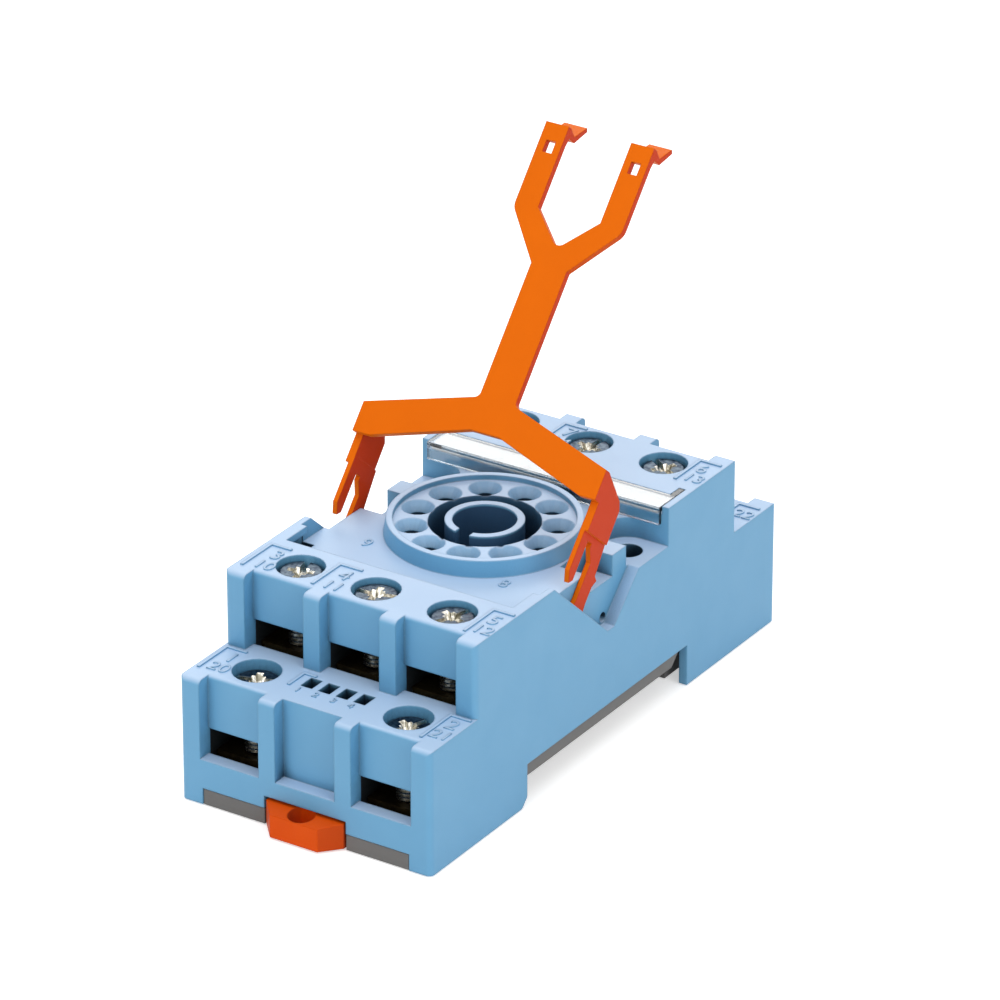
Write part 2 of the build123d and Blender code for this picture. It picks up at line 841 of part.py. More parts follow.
def clip_leg_shape():
    """One side leg: broad plate behind the bar, then two thin tines with the pivot below."""
    broad = [
        (0, 0), (0, bar_end_height), (clip_sheet, bar_end_height), (6.3, 1.8), (7.1, 0.8),
        (leg_rear_k, leg_step_s), (leg_front_k, leg_step_s), (leg_front_k, 0),
    ]
    leg = side_profile([clip_point(k, s) for k, s in broad], clip_half - clip_leg, clip_half)
    front = [
        (leg_front_k, leg_step_s + 1), (leg_front_k, front_tine_s + 1.4),
        (leg_front_k + 1.0, front_tine_s), (slot_front_k, front_tine_s + 0.6),
        (slot_front_k, slot_top_s), (slot_rear_k, slot_top_s), (slot_rear_k, slot_top_s - 0.6),
        (rear_tine_front_k, nub_s + 1.4), (rear_tine_front_k, tine_foot_s),
    ]
    pivot = clip_plane_of(pivot_y, pivot_z)
    rear = [
        (pivot[0] - pivot_boss_radius, pivot[1]), (pivot[0] + pivot_boss_radius, pivot[1]),
        (rear_tine_rear_k, tine_foot_s), (rear_tine_rear_k, nub_s - 1.1), (nub_k, nub_s),
        (rear_tine_rear_k - 0.2, nub_s + 0.4), (leg_rear_k + 0.3, leg_step_s + 1),
    ]
    thin = side_profile(
        [clip_point(k, s) for k, s in front + rear], clip_foot_x, clip_foot_x + clip_foot_sheet
    )
    middle = clip_foot_x + clip_foot_sheet / 2
    across = Pos(middle, pivot_y, pivot_z) * Rot(Y=90)
    thin += across * Cylinder(pivot_boss_radius, clip_foot_sheet)
    pin_middle = clip_foot_x - pivot_length / 2
    thin += Pos(pin_middle, pivot_y, pivot_z) * Rot(Y=90) * Cylinder(
        pivot_diameter / 2, pivot_length + 0.02
    )
    return leg + thin


def clip_plane_of(y, z):
    """Clip-plane coordinates (k, s) of a point given as (y, z)."""
    a = radians(clip_tilt)
    dy = y - clip_origin_y
    dz = z - clip_origin_z
    return (dy * cos(a) - dz * sin(a), dy * sin(a) + dz * cos(a))


def make_clip():
    """Orange retaining clip, one moulding, leaning back on its side pivots."""
    lean = Plane(
        origin=(0, clip_origin_y, clip_origin_z),
        x_dir=(1, 0, 0),
        z_dir=(0, cos(radians(clip_tilt)), -sin(radians(clip_tilt))),
    )
    plate = clip_plate()
    plate = mirror(plate, about=Plane.XZ)
    plate = lean * plate
    return plate + both_sides(clip_hook() + clip_leg_shape())


def make_marker_cover():
    """Clear strip over the marker card, with a lip in front and a rail at each end."""
    depth = rear_block_front + marker_depth
    top = block(
        -marker_half, marker_half, rear_block_front - marker_lip, depth, top_z - marker_sheet, top_z
    )
    lip = block(
        -marker_half, marker_half, rear_block_front - marker_lip, rear_block_front - 0.02,
        ring_deck_z + marker_lip_gap, top_z - marker_sheet + 0.01,
    )
    rail = block(
        marker_half - marker_rail_width, marker_half,
        rear_block_front, marker_rail_end, top_z - marker_sheet, top_z,
    )
    return top + lip + both_sides(rail)


def make_marker_card():
    """White card under the clear strip."""
    z1 = top_z - marker_sheet - marker_play / 2
    return block(
        -marker_half + card_margin, marker_half - card_margin,
        rear_block_front + 0.1, rear_block_front + marker_depth - 0.1, z1 - card_sheet, z1,
    )


def save(node, shape):
    """Write one named piece."""
    export_step(shape, f"parts/{node}.step")


save("housing", make_housing())
save("base_plate", make_base_plate())
save("rail_latch", make_latch())
save("latch_spring", make_spring())
save("retaining_clip", make_clip())
save("marker_cover", make_marker_cover())
save("marker_card", make_marker_card())
for number, (t, steps) in enumerate(zip(terminals, pin_of_terminal), start=1):
    save(f"terminal_screw_{number:02d}", make_screw(t))
    save(f"clamp_saddle_{number:02d}", make_saddle(t))
    save(f"contact_{number:02d}", make_contact(t, steps))
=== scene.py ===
import math

import bmesh
import bpy
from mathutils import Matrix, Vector


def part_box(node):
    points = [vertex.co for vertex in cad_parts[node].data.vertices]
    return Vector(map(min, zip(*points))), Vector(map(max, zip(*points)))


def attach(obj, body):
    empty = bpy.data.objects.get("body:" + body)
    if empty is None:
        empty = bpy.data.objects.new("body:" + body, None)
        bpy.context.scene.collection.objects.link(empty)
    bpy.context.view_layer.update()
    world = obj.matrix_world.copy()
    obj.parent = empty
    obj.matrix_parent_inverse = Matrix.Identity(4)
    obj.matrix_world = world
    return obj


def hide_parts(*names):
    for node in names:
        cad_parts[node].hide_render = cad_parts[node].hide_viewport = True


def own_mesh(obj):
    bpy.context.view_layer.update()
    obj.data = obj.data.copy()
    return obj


# Plug-in relay socket with eleven screw terminals. Metres, +Z up from its feet,
# -Y the front with the rail latch, the pin ring round the Z axis.
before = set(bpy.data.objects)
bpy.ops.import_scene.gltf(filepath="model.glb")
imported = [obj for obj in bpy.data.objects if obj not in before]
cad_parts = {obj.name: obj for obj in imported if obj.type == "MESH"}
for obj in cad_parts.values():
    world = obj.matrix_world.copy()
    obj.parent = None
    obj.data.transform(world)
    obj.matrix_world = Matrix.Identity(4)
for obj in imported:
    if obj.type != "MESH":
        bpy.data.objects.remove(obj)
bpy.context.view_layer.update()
mm = 0.001


# Table, camera and lamps
# A product photograph: a pale sheet under the object, one wide softbox overhead, one low
# behind that shines along the tops, a broad fill on the left and a small one on the right.
def linear(code):
    """Turns an sRGB hex colour into the linear values that a shader takes."""
    parts = [int(code[i:i + 2], 16) / 255 for i in (1, 3, 5)]
    return [c / 12.92 if c <= 0.04045 else ((c + 0.055) / 1.055) ** 2.4 for c in parts] + [1]


def add(material, kind, values=(), links=()):
    """Adds one node with its settings, input values and incoming links."""
    tree = material.node_tree
    node = tree.nodes.new(kind)
    for name, value in dict(values).items():
        if isinstance(name, int) or name in node.inputs:
            node.inputs[name].default_value = value
        else:
            setattr(node, name, value)
    for name, source in dict(links).items():
        tree.links.new(source, node.inputs[name])
    return node


def blank(name):
    """A new material with nothing in it but its nodes to come."""
    material = bpy.data.materials.new(name)
    material.use_nodes = True
    material.node_tree.nodes.clear()
    return material


view_azimuth = math.radians(32.95)
view_elevation = math.radians(26.55)
view_target = Vector((-7.22, 14.72, 21.86)) * mm
view_distance = 916.65 * mm


def from_target(azimuth, elevation, distance):
    """Point at that compass angle, height angle and distance from what the camera looks at."""
    flat = math.cos(elevation) * distance
    return view_target + Vector(
        (math.sin(azimuth) * flat, -math.cos(azimuth) * flat, math.sin(elevation) * distance)
    )


def facing(place):
    """Turn that makes a camera or lamp at that place look at the target."""
    return (view_target - place).to_track_quat("-Z", "Y").to_euler()


place = from_target(view_azimuth, view_elevation, view_distance)
bpy.ops.object.camera_add(location=place, rotation=facing(place))
camera = bpy.context.object
camera.data.lens = 252
camera.data.sensor_width = 36
camera.data.clip_start = 0.05
camera.data.clip_end = 20
bpy.context.scene.camera = camera

# Name, degrees to the right of the camera, degrees up, distance, width and depth, power.
softboxes = [
    ("overhead_softbox", 0, 86, 1.1, (1.5, 1.5), 10),
    ("back_softbox", 180, 30, 1.1, (1.6, 0.45), 4.6),
    ("left_fill", -42, 24, 1.3, (0.9, 0.9), 4.2),
    ("right_fill", 38, 24, 0.6, (0.4, 0.4), 1.0),
]
for name, turn, height, distance, size, power in softboxes:
    place = from_target(view_azimuth + math.radians(turn), math.radians(height), distance)
    bpy.ops.object.light_add(type="AREA", location=place, rotation=facing(place))
    lamp = bpy.context.object
    lamp.name = name
    lamp.data.shape = "RECTANGLE"
    lamp.data.size, lamp.data.size_y = size
    lamp.data.energy = power
    lamp.visible_camera = False


def looked_at(material):
    """Gives 1 to rays of the camera, through glass and off a gloss, and 0 to other light."""
    path = add(material, "ShaderNodeLightPath")
    straight = add(
        material, "ShaderNodeMath", {"operation": "MAXIMUM"},
        {0: path.outputs["Is Camera Ray"], 1: path.outputs["Is Transmission Ray"]},
    )
    return add(
        material, "ShaderNodeMath", {"operation": "MAXIMUM"},
        {0: straight.outputs[0], 1: path.outputs["Is Glossy Ray"]},
    )


# The surround looks white, and gives less light to the object than it shows.
studio = bpy.data.worlds.new("studio_room")
bpy.context.scene.world = studio
studio.use_nodes = True
studio.node_tree.nodes.clear()
walls = add(studio, "ShaderNodeBackground", {"Color": linear("#F2F4F6"), "Strength": 0.3})
backdrop = add(studio, "ShaderNodeBackground", {"Color": (1, 1, 1, 1), "Strength": 1.0})
surround = add(
    studio, "ShaderNodeMixShader",
    links={0: looked_at(studio).outputs[0], 1: walls.outputs[0], 2: backdrop.outputs[0]},
)
add(studio, "ShaderNodeOutputWorld", links={"Surface": surround.outputs[0]})

# The paper also looks brighter than it is lit, so that it stays white round the object.
table_width = 4
table_drop = 0.0002
bpy.ops.mesh.primitive_plane_add(size=table_width, location=(0, 0, -table_drop))
table = bpy.context.object
table.name = "table_sheet"
paper = blank("white background paper")
lit = add(paper, "ShaderNodeBsdfDiffuse", {"Color": linear("#F4F4F4")})
glow = add(paper, "ShaderNodeEmission", {"Color": (1, 1, 1, 1), "Strength": 0.5})
dark = add(paper, "ShaderNodeEmission", {"Color": (0, 0, 0, 1), "Strength": 0})
lift = add(
    paper, "ShaderNodeMixShader",
    links={0: looked_at(paper).outputs[0], 1: dark.outputs[0], 2: glow.outputs[0]},
)
both = add(paper, "ShaderNodeAddShader", links={0: lit.outputs[0], 1: lift.outputs[0]})
add(paper, "ShaderNodeOutputMaterial", links={"Surface": both.outputs[0]})
table.data.materials.append(paper)
bpy.context.scene.view_settings.view_transform = "Standard"


# Housing
# The blue body: glass-filled nylon, injection moulded in one piece in a tool with a
# fine spark-eroded grain. It carries the pin ring and hides the contacts.
def assign(node, material):
    """Gives every material slot of one CAD piece the same finish."""
    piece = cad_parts[node]
    if not piece.material_slots:
        piece.data.materials.append(material)
    for slot in piece.material_slots:
        slot.material = material


blue = blank("moulded blue nylon")
where = add(blue, "ShaderNodeTexCoord")
# Cloudy patches about 6 mm wide keep the large faces from looking flat.
cloud_width = 6.25 * mm
cloud = add(
    blue, "ShaderNodeTexNoise", {"Scale": 1 / cloud_width, "Detail": 3, "Roughness": 0.55},
    {"Vector": where.outputs["Object"]},
)
# Spark-eroded grain of about 0.15 mm, drawn at 0.25 mm so that it shows.
grain_width = 0.25 * mm
grain_depth = 0.06 * mm
pits = add(
    blue, "ShaderNodeTexNoise", {"Scale": 1 / grain_width, "Detail": 2, "Roughness": 0.6},
    {"Vector": where.outputs["Object"]},
)
# The moulded edges look rounded, and catch a thin line of light.
housing_edge = 0.35 * mm
rounded = add(blue, "ShaderNodeBevel", {"samples": 6, "Radius": housing_edge})
relief = add(
    blue, "ShaderNodeBump", {"Strength": 0.35, "Distance": grain_depth},
    {"Height": pits.outputs["Fac"], "Normal": rounded.outputs["Normal"]},
)
flank = add(
    blue, "ShaderNodeMix", {"data_type": "RGBA", 6: linear("#68A6CC"), 7: linear("#629FC6")},
    {"Factor": cloud.outputs["Fac"]},
)
# Faces that look up are painted far paler than the flanks, with their own tint: a painted sheen
# of the light from above.
painted_top_sheen = add(
    blue, "ShaderNodeMix", {"data_type": "RGBA", 6: linear("#B3CCE8"), 7: linear("#ACC7E4")},
    {"Factor": cloud.outputs["Fac"]},
)
compass = add(blue, "ShaderNodeSeparateXYZ", links={"Vector": rounded.outputs["Normal"]})
upward = add(
    blue, "ShaderNodeMapRange", {"From Min": 0.3, "From Max": 0.95},
    {"Value": compass.outputs["Z"]},
)
skin_colour = add(
    blue, "ShaderNodeMix", {"data_type": "RGBA"},
    {"Factor": upward.outputs[0], 6: flank.outputs[2], 7: painted_top_sheen.outputs[2]},
)
# Gaps and corners narrower than about 7 mm get painted shade, dark navy mixed in by occlusion.
# Faces that look up don't.
gap_reach = 7 * mm
shelter = add(
    blue, "ShaderNodeAmbientOcclusion", {"samples": 8, "only_local": True, "Distance": gap_reach},
)
exposed = add(
    blue, "ShaderNodeMapRange", {"From Min": 0.25, "From Max": 0.64},
    {"Value": shelter.outputs["AO"]},
)
open_sky = add(
    blue, "ShaderNodeMath", {"operation": "MAXIMUM"},
    {0: exposed.outputs[0], 1: upward.outputs[0]},
)
recess = add(
    blue, "ShaderNodeMix", {"data_type": "RGBA", 6: linear("#0E2536")},
    {"Factor": open_sky.outputs[0], 7: skin_colour.outputs[2]},
)
# The key well is 15 mm deep and narrow; from just below its mouth it gets painted shade.
well_edge = 7.45 * mm
well_inside = 7.3 * mm
well_mouth_z = 27.15 * mm
well_dark_z = 26.9 * mm
spot = add(blue, "ShaderNodeSeparateXYZ", links={"Vector": where.outputs["Object"]})
plan = add(
    blue, "ShaderNodeCombineXYZ", links={"X": spot.outputs["X"], "Y": spot.outputs["Y"]},
)
off_axis = add(
    blue, "ShaderNodeVectorMath", {"operation": "LENGTH"}, {0: plan.outputs["Vector"]},
)
inside = add(
    blue, "ShaderNodeMapRange", {"From Min": well_edge, "From Max": well_inside},
    {"Value": off_axis.outputs["Value"]},
)
below = add(
    blue, "ShaderNodeMapRange", {"From Min": well_mouth_z, "From Max": well_dark_z},
    {"Value": spot.outputs["Z"]},
)
well = add(
    blue, "ShaderNodeMath", {"operation": "MULTIPLY"},
    {0: inside.outputs[0], 1: below.outputs[0]},
)
well_painted_shade = add(
    blue, "ShaderNodeMix", {"data_type": "RGBA", 7: linear("#2F5274")},
    {"Factor": well.outputs[0], 6: recess.outputs[2]},
)
# Little light reaches the chambers behind the wire openings, so they get painted shade, almost
# black.
# Each row is a band along X: its middle and half its depth in Y, then the same in Z, in mm.
chamber_rows = [(29.7, 9.5, 10.0, 4.9), (24.4, 4.4, 20.5, 4.0)]
chamber_half_width = 17.6 * mm
from_axis = add(blue, "ShaderNodeMath", {"operation": "ABSOLUTE"}, {0: spot.outputs["Y"]})
rows = []
for middle, half_depth, level, half_height in chamber_rows:
    depth = add(
        blue, "ShaderNodeMath", {"operation": "COMPARE", 1: middle * mm, 2: half_depth * mm},
        {0: from_axis.outputs[0]},
    )
    height = add(
        blue, "ShaderNodeMath", {"operation": "COMPARE", 1: level * mm, 2: half_height * mm},
        {0: spot.outputs["Z"]},
    )
    rows.append(add(
        blue, "ShaderNodeMath", {"operation": "MULTIPLY"},
        {0: depth.outputs[0], 1: height.outputs[0]},
    ))
between_flanks = add(
    blue, "ShaderNodeMath", {"operation": "COMPARE", 1: 0.0, 2: chamber_half_width},
    {0: spot.outputs["X"]},
)
either_row = add(
    blue, "ShaderNodeMath", {"operation": "MAXIMUM"},
    {0: rows[0].outputs[0], 1: rows[1].outputs[0]},
)
painted_chamber_shade = add(
    blue, "ShaderNodeMath", {"operation": "MULTIPLY"},
    {0: between_flanks.outputs[0], 1: either_row.outputs[0]},
)
body_colour = add(
    blue, "ShaderNodeMix", {"data_type": "RGBA", 7: linear("#1E2224")},
    {"Factor": painted_chamber_shade.outputs[0], 6: well_painted_shade.outputs[2]},
)
gloss = add(
    blue, "ShaderNodeMapRange", {"To Min": 0.42, "To Max": 0.52},
    {"Value": cloud.outputs["Fac"]},
)
skin = add(
    blue, "ShaderNodeBsdfPrincipled", {"IOR": 1.52},
    {
        "Base Color": body_colour.outputs[2], "Roughness": gloss.outputs[0],
        "Normal": relief.outputs["Normal"],
    },
)
add(blue, "ShaderNodeOutputMaterial", links={"Surface": skin.outputs[0]})
assign("housing", blue)


# Moulded terminal marks
# Plain numbers and the right-angled line beside each, raised by an engraving in the
# tool. They are part of the blue moulding and have its colour.
def activate(piece):
    """Makes one piece the only selected and active one."""
    if bpy.context.mode != "OBJECT":
        bpy.ops.object.mode_set(mode="OBJECT")
    bpy.ops.object.select_all(action="DESELECT")
    piece.select_set(True)
    bpy.context.view_layer.objects.active = piece


def settle(piece):
    """Puts a piece's place, turn and scale into its mesh."""
    activate(piece)
    bpy.ops.object.transform_apply(location=True, rotation=True, scale=True)


def pick(piece, kind, test):
    """Selects, in edit mode, the edges or faces of a piece that pass a test."""
    activate(piece)
    bpy.ops.object.mode_set(mode="EDIT")
    bpy.ops.mesh.select_mode(type="EDGE" if kind == "edges" else "FACE")
    bpy.ops.mesh.select_all(action="DESELECT")
    net = bmesh.from_edit_mesh(piece.data)
    for part in getattr(net, kind):
        if test(part):
            part.select_set(True)
    bmesh.update_edit_mesh(piece.data)


def done():
    """Leaves edit mode with all faces turned outwards."""
    bpy.ops.mesh.select_all(action="SELECT")
    bpy.ops.mesh.normals_make_consistent(inside=False)
    bpy.ops.object.mode_set(mode="OBJECT")


line_width = 0.42 * mm
line_height = 0.2 * mm
number_height = line_height * 0.8
text_size_per_height = 1.5
deck_z = 28 * mm
step_z = 17.5 * mm
ring_deck_z = 25.4 * mm
# Corner of each angled line, the length of its leg along X and of its leg to the front.
angles = [
    (-18.0, -22.1, deck_z, 2.9, 6.5), (-7.5, -22.0, deck_z, 3.2, 6.2),
    (15.6, -21.9, deck_z, 2.9, 6.6), (-18.3, -31.9, step_z, 2.9, 6.2),
    (15.6, -31.8, step_z, 2.9, 6.6), (-6.0, -32.5, step_z, 1.7, 3.4),
    (15.2, 28.2, deck_z, 3.0, 6.2), (-5.5, 27.9, deck_z, 3.2, 6.2),
    (15.2, 38.2, step_z, 3.0, 6.2), (-18.2, 38.2, step_z, 3.0, 6.2),
]
marks = []
for x, y, z, along, ahead in angles:
    left = x * mm
    rear = y * mm
    bpy.ops.mesh.primitive_plane_add(size=line_width, location=(left, rear, z))
    mark = bpy.context.object
    settle(mark)
    pick(mark, "edges", lambda e: min(v.co.x for v in e.verts) > left)
    bpy.ops.mesh.extrude_region_move(TRANSFORM_OT_translate={"value": (along * mm, 0, 0)})
    pick(mark, "edges", lambda e: all(
        v.co.y < rear and v.co.x < left + line_width for v in e.verts
    ))
    bpy.ops.mesh.extrude_region_move(TRANSFORM_OT_translate={"value": (0, -ahead * mm, 0)})
    bpy.ops.mesh.select_all(action="SELECT")
    bpy.ops.mesh.extrude_region_move(TRANSFORM_OT_translate={"value": (0, 0, line_height)})
    done()
    marks.append(mark)
# Numbers: text, place of the lower left corner, height of the level and of the digits.
numbers = [
    ("3", -16.4, -25.4, deck_z, 2.2), ("10", -16.9, -28.4, deck_z, 2.0),
    ("4", -6.0, -25.4, deck_z, 2.2), ("11", -6.4, -28.4, deck_z, 2.0),
    ("5", 16.5, -25.4, deck_z, 2.2), ("12", 16.0, -28.2, deck_z, 2.0),
    ("1", -16.8, -35.2, step_z, 2.2), ("20", -17.4, -38.0, step_z, 2.0),
    ("2", 16.5, -35.0, step_z, 2.2), ("21", 16.0, -37.8, step_z, 2.0),
    ("6", 16.0, 25.0, deck_z, 2.2), ("13", 15.8, 22.2, deck_z, 2.0),
    ("7", -4.4, 24.8, deck_z, 2.2), ("14", -4.8, 22.0, deck_z, 2.0),
    ("22", 15.9, 34.8, step_z, 2.0), ("23", -17.3, 34.8, step_z, 2.0),
    ("9", -11.6, -11.9, ring_deck_z, 1.9), ("8", 9.4, -11.9, ring_deck_z, 1.9),
    ("1", -4.6, -37.1, step_z, 1.1), ("2", -1.9, -37.1, step_z, 1.1),
    ("3", 0.8, -37.1, step_z, 1.1), ("4", 3.4, -37.1, step_z, 1.1),
]
for text, x, y, z, digit_height in numbers:
    bpy.ops.object.text_add(location=(x * mm, y * mm, z))
    mark = bpy.context.object
    mark.data.body = text
    mark.data.size = digit_height * text_size_per_height * mm
    mark.data.extrude = number_height
    mark.data.resolution_u = 4
    activate(mark)
    bpy.ops.object.convert(target="MESH")
    settle(mark)
    marks.append(mark)
for mark in marks:
    mark.select_set(True)
bpy.context.view_layer.objects.active = marks[0]
bpy.ops.object.join()
marks = bpy.context.object
marks.name = "terminal_marks"
marks.data.materials.clear()
marks.data.materials.append(blue)
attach(marks, "socket")


# Grey base plate
# Grey polypropylene, moulded; it snaps into the feet, closes the underside and shows
# as thin strips in front and along the rail notch.
def moulded(name, colour, shade, roughness, grain, edge, painted_side_shade=None):
    """Moulded plastic: two close shades, a tool grain, rounded edges, painted shade on its side
    faces.
    """
    material = blank(name)
    where = add(material, "ShaderNodeTexCoord")
    cloud = add(
        material, "ShaderNodeTexNoise",
        {"Scale": 1 / cloud_width, "Detail": 3, "Roughness": 0.55},
        {"Vector": where.outputs["Object"]},
    )
    tint = add(
        material, "ShaderNodeMix", {"data_type": "RGBA", 6: linear(colour), 7: linear(shade)},
        {"Factor": cloud.outputs["Fac"]},
    )
    pits = add(
        material, "ShaderNodeTexNoise",
        {"Scale": 1 / grain_width, "Detail": 2, "Roughness": 0.6},
        {"Vector": where.outputs["Object"]},
    )
    rounded = add(material, "ShaderNodeBevel", {"samples": 6, "Radius": edge})
    relief = add(
        material, "ShaderNodeBump", {"Strength": grain, "Distance": grain_depth},
        {"Height": pits.outputs["Fac"], "Normal": rounded.outputs["Normal"]},
    )
    gloss = add(
        material, "ShaderNodeMapRange", {"To Min": roughness - 0.04, "To Max": roughness + 0.05},
        {"Value": cloud.outputs["Fac"]},
    )
    compass = add(
        material, "ShaderNodeSeparateXYZ", links={"Vector": rounded.outputs["Normal"]},
    )
    turned = add(
        material, "ShaderNodeMath", {"operation": "ABSOLUTE"}, {0: compass.outputs["X"]},
    )
    side = add(
        material, "ShaderNodeMapRange", {"From Min": 0.5, "From Max": 0.98},
        {"Value": turned.outputs[0]},
    )
    whole = add(
        material, "ShaderNodeMix", {"data_type": "RGBA", 7: linear(painted_side_shade or colour)},
        {"Factor": side.outputs[0], 6: tint.outputs[2]},
    )
    # The photograph shows hardly any reflection on these pieces, so it is turned well down.
    skin = add(
        material, "ShaderNodeBsdfPrincipled", {"IOR": 1.49, "Specular IOR Level": 0.08},
        {
            "Base Color": whole.outputs[2], "Roughness": gloss.outputs[0],
            "Normal": relief.outputs["Normal"],
        },
    )
    add(material, "ShaderNodeOutputMaterial", links={"Surface": skin.outputs[0]})
    return material


grey = moulded("moulded grey polypropylene", "#7B7977", "#716F6D", 0.5, 0.35, 0.25 * mm)
assign("base_plate", grey)


# Retaining clip and rail latch
# Both are orange acetal with a smooth moulded skin. Faces that look to the side get a
# redder, darker colour: painted shade. The clip is a flat plate with two folded legs that snap
# into the sides.
orange = moulded(
    "moulded orange acetal, clip", "#E86C02", "#E06601", 0.42, 0.2, 0.25 * mm, "#CB3A0A"
)
assign("retaining_clip", orange)
deep_orange = moulded(
    "moulded orange acetal, latch", "#E4560C", "#DA4E0C", 0.45, 0.2, 0.3 * mm, "#B03E16"
)
assign("rail_latch", deep_orange)


# Latch spring
# A compression spring cold wound from 0.5 mm spring steel wire, six turns, seated
# between a post of the base plate and the latch.
scratch_width = mm / 7


def metal(name, colour, stain, smooth, rough, patch_width, relief_depth):
    """Metal: two shades in patches, roughness that follows them, fine scratches."""
    material = blank(name)
    where = add(material, "ShaderNodeTexCoord")
    film = add(
        material, "ShaderNodeTexNoise",
        {"Scale": 1 / patch_width, "Detail": 4, "Roughness": 0.6},
        {"Vector": where.outputs["Object"]},
    )
    patches = add(
        material, "ShaderNodeMapRange", {"From Min": 0.4, "From Max": 0.6},
        {"Value": film.outputs["Fac"]},
    )
    tint = add(
        material, "ShaderNodeMix", {"data_type": "RGBA", 6: linear(colour), 7: linear(stain)},
        {"Factor": patches.outputs[0]},
    )
    gloss = add(
        material, "ShaderNodeMapRange", {"To Min": smooth, "To Max": rough},
        {"Value": film.outputs["Fac"]},
    )
    scratch = add(
        material, "ShaderNodeTexNoise", {"Scale": 1 / scratch_width, "Detail": 2},
        {"Vector": where.outputs["Object"]},
    )
    relief = add(
        material, "ShaderNodeBump", {"Strength": 0.25, "Distance": relief_depth},
        {"Height": scratch.outputs["Fac"]},
    )
    skin = add(
        material, "ShaderNodeBsdfPrincipled", {"Metallic": 1},
        {
            "Base Color": tint.outputs[2], "Roughness": gloss.outputs[0],
            "Normal": relief.outputs["Normal"],
        },
    )
    add(material, "ShaderNodeOutputMaterial", links={"Surface": skin.outputs[0]})
    return material


spring_steel = metal(
    "drawn spring steel", "#8C8A86", "#6E6A64", 0.25, 0.4, mm / 1.2, 0.02 * mm
)
low, high = (Vector(corner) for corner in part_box("latch_spring"))
wire_radius = 0.25 * mm
coil_radius = 1.05 * mm
turns = 6
coil_steps = 28
rise = (high.y - low.y - 2 * wire_radius) / turns
bpy.ops.object.select_all(action="DESELECT")
bpy.ops.mesh.primitive_circle_add(
    vertices=10, radius=wire_radius, location=(coil_radius, 0, 0), rotation=(math.pi / 2, 0, 0)
)
spring = bpy.context.object
settle(spring)
coil = spring.modifiers.new("coil", "SCREW")
coil.screw_offset = rise
coil.iterations = turns
coil.steps = coil_steps
coil.render_steps = coil_steps
bpy.ops.object.modifier_apply(modifier="coil")
pick(spring, "edges", lambda e: e.is_boundary)
bpy.ops.mesh.fill_holes(sides=12)
done()
spring.rotation_euler = (-math.pi / 2, 0, 0)
spring_z = (low.z + high.z) / 2
spring.location = (0, low.y + wire_radius, spring_z)
settle(spring)
bpy.ops.object.shade_smooth_by_angle(angle=math.radians(40))
spring.name = "coil_spring"
spring.data.materials.append(spring_steel)
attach(spring, "socket")
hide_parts("latch_spring")
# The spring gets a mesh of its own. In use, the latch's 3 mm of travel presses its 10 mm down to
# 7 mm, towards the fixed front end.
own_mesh(spring)


# Contacts
# Stamped from brass strip; each runs from a pin of the ring to the tapped plate of one
# terminal. Their colour is darkened to dark brown for the shade deep inside the housing: painted
# shade.
brass = metal("brass strip, painted shade", "#3E3520", "#261F14", 0.45, 0.6, 2 * mm, 0.04 * mm)
for n in range(1, 12):
    assign(f"contact_{n:02d}", brass)


# Clamp saddles
# Zinc-plated steel, stamped to a hat shape; each rides under its screw's head and
# presses the wires on the plate. Only their edges show through the wire openings.
# Their colour is toned dark for the shade inside the wire openings: painted shade.
saddle_steel = metal(
    "zinc plated steel, stamped", "#56534D", "#3A3732", 0.35, 0.55, mm / 0.9, 0.04 * mm
)
for n in range(1, 12):
    assign(f"clamp_saddle_{n:02d}", saddle_steel)


# Terminal screws
# Cold-headed steel screws, nickel plated: a pan head with a cross and a slot, and an M3.5
# thread. The flat of the head is painted dull blue-grey, a painted reflection of the blue housing
# round it; the recess and thread are painted bright and creamy, a painted highlight.
screw_steel = metal(
    "nickel plated steel", "#1C2C3E", "#4E5B66", 0.22, 0.38, mm / 1.5, 0.03 * mm
)
highlight_steel = metal(
    "nickel plated steel, painted highlight", "#F2EFE6", "#8B8778", 0.2, 0.36, mm / 1.5, 0.03 * mm
)
head_radius = 2.95 * mm
head_height = 2.2 * mm
head_round = 0.5 * mm
dish_rim = 1.2 * mm
dish_depth = 0.06 * mm
close_by = 0.01 * mm
bpy.ops.object.select_all(action="DESELECT")
bpy.ops.mesh.primitive_cylinder_add(
    vertices=48, radius=head_radius, depth=head_height, location=(0, 0, -head_height / 2)
)
screw = bpy.context.object
settle(screw)
screw.data.materials.append(screw_steel)
pick(screw, "edges", lambda e: all(v.co.z > -close_by for v in e.verts))
bpy.ops.mesh.bevel(offset=head_round, segments=4, profile=0.5, affect="EDGES")
pick(screw, "faces", lambda f: f.calc_center_median().z > -close_by and f.normal.z > 0.9)
bpy.ops.mesh.inset(thickness=dish_rim)
bpy.ops.transform.translate(value=(0, 0, -dish_depth))
done()

# Length, width and depth of each cut, measured from a little above the head.
cut_top = 0.3 * mm
slot_cut = (7 * mm, 0.85 * mm, 1.3 * mm)
cross_cut = (0.95 * mm, 3.9 * mm, 2.1 * mm)
middle_cut = (2.1 * mm, 2.1 * mm, 2.0 * mm)


def cutter(sizes, narrow):
    """Box that cuts the recess, its bottom as wide as that share of its top."""
    bpy.ops.mesh.primitive_cube_add(size=1, location=(0, 0, cut_top - sizes[2] / 2))
    tool = bpy.context.object
    tool.scale = sizes
    settle(tool)
    tool.data.materials.append(highlight_steel)
    pick(tool, "faces", lambda f: f.normal.z < -0.9)
    bpy.ops.transform.resize(value=(narrow, narrow, 1))
    done()
    return tool


def cut(piece, tool):
    """Takes one piece's shape out of another and deletes it."""
    activate(piece)
    knife = piece.modifiers.new("recess", "BOOLEAN")
    knife.operation = "DIFFERENCE"
    knife.object = tool
    knife.material_mode = "TRANSFER"
    bpy.ops.object.modifier_apply(modifier="recess")
    bpy.data.objects.remove(tool)


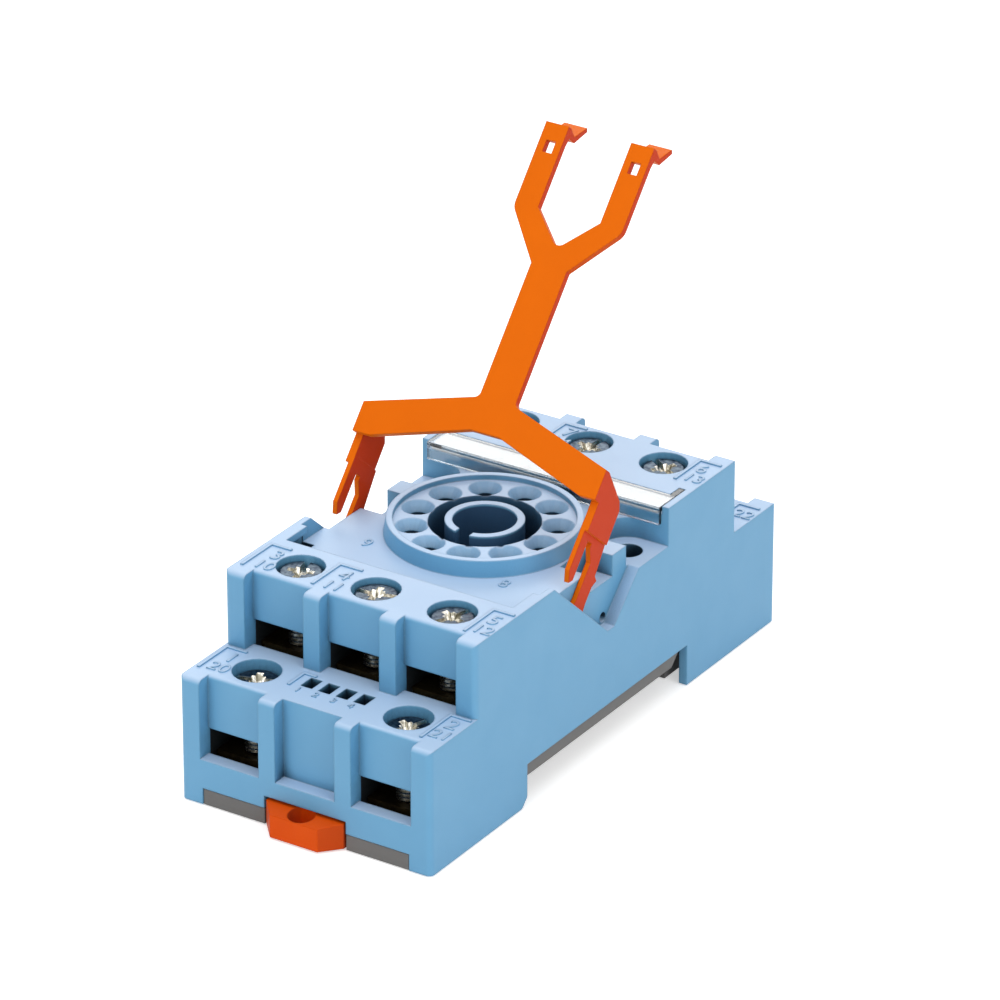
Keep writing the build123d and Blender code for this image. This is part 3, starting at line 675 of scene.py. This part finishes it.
cut(screw, cutter(slot_cut, 1.0))
cut(screw, cutter(cross_cut, 0.45))
cut(screw, cutter(middle_cut, 0.3))
edge_round = screw.modifiers.new("worn edges", "BEVEL")
edge_round.width = 0.06 * mm
edge_round.segments = 2
edge_round.limit_method = "ANGLE"
edge_round.angle_limit = math.radians(40)
bpy.ops.object.modifier_apply(modifier="worn edges")

# The shank is a plain core that reaches a little into the head.
shank_length = 8.4 * mm
core_radius = 1.4 * mm
core_overlap = 0.1 * mm
tip_bevel = 0.35 * mm
bpy.ops.object.select_all(action="DESELECT")
bpy.ops.mesh.primitive_cylinder_add(
    vertices=32, radius=core_radius, depth=shank_length,
    location=(0, 0, -head_height - shank_length / 2 + core_overlap),
)
core = bpy.context.object
settle(core)
core.data.materials.append(screw_steel)
tip_z = core_overlap - head_height - shank_length
pick(core, "edges", lambda e: all(v.co.z < tip_z + close_by for v in e.verts))
bpy.ops.mesh.bevel(offset=tip_bevel, segments=2, affect="EDGES")
done()

# The thread is a three-sided ridge wound round the core, 0.6 mm a turn.
pitch = 0.6 * mm
thread_turns = 13
thread_steps = 24
ridge_radius = 0.26 * mm
ridge_centre = core_radius + 0.08 * mm
thread_start = 0.45 * mm
bpy.ops.object.select_all(action="DESELECT")
bpy.ops.mesh.primitive_circle_add(
    vertices=3, radius=ridge_radius, location=(ridge_centre, 0, 0),
    rotation=(math.pi / 2, math.pi / 2, 0),
)
ridge = bpy.context.object
settle(ridge)
ridge.data.materials.append(highlight_steel)
winding = ridge.modifiers.new("thread", "SCREW")
winding.screw_offset = pitch
winding.iterations = thread_turns
winding.steps = thread_steps
winding.render_steps = thread_steps
bpy.ops.object.modifier_apply(modifier="thread")
pick(ridge, "edges", lambda e: e.is_boundary)
bpy.ops.mesh.fill_holes(sides=3)
done()
ridge.location = (0, 0, -head_height - shank_length + thread_start)
settle(ridge)
for piece in (core, ridge):
    piece.select_set(True)
screw.select_set(True)
bpy.context.view_layer.objects.active = screw
bpy.ops.object.join()
activate(screw)
bpy.ops.object.shade_smooth_by_angle(angle=math.radians(32))
# How far each screw was left turned, in degrees.
turned_by = [20, 65, 105, 12, 70, 35, 80, 150, 10, 120, 55]
for n, turn in enumerate(turned_by, start=1):
    low, high = (Vector(corner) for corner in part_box(f"terminal_screw_{n:02d}"))
    each = screw.copy()
    each.data = screw.data.copy()
    bpy.context.collection.objects.link(each)
    each.name = f"pan_head_screw_{n:02d}"
    each.rotation_euler = (0, 0, math.radians(turn))
    each.location = ((low.x + high.x) / 2, (low.y + high.y) / 2, high.z)
    settle(each)
    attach(each, f"screw_{n:02d}")
    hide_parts(f"terminal_screw_{n:02d}")
bpy.data.objects.remove(screw)


# Marker card and its clear cover
# A strip of white card for pencilled names lies under a snap-on cover of clear
# polycarbonate along the front edge of the rear block.
card = moulded("white marker card", "#DAD9D7", "#D2D1CF", 0.7, 0.2, 0.05 * mm)
assign("marker_card", card)
# Light wear, about 1 mm wide, makes the clear strip glossy in patches.
wear_width = mm / 0.9
cover_edge = 0.15 * mm
clear = blank("clear polycarbonate")
where = add(clear, "ShaderNodeTexCoord")
wear = add(
    clear, "ShaderNodeTexNoise", {"Scale": 1 / wear_width, "Detail": 3},
    {"Vector": where.outputs["Object"]},
)
gloss = add(
    clear, "ShaderNodeMapRange", {"To Min": 0.03, "To Max": 0.12},
    {"Value": wear.outputs["Fac"]},
)
rounded = add(clear, "ShaderNodeBevel", {"samples": 4, "Radius": cover_edge})
skin = add(
    clear, "ShaderNodeBsdfPrincipled",
    {"Base Color": linear("#F4F8FA"), "IOR": 1.58, "Transmission Weight": 1.0},
    {"Normal": rounded.outputs["Normal"], "Roughness": gloss.outputs[0]},
)
add(clear, "ShaderNodeOutputMaterial", links={"Surface": skin.outputs[0]})
assign("marker_cover", clear)
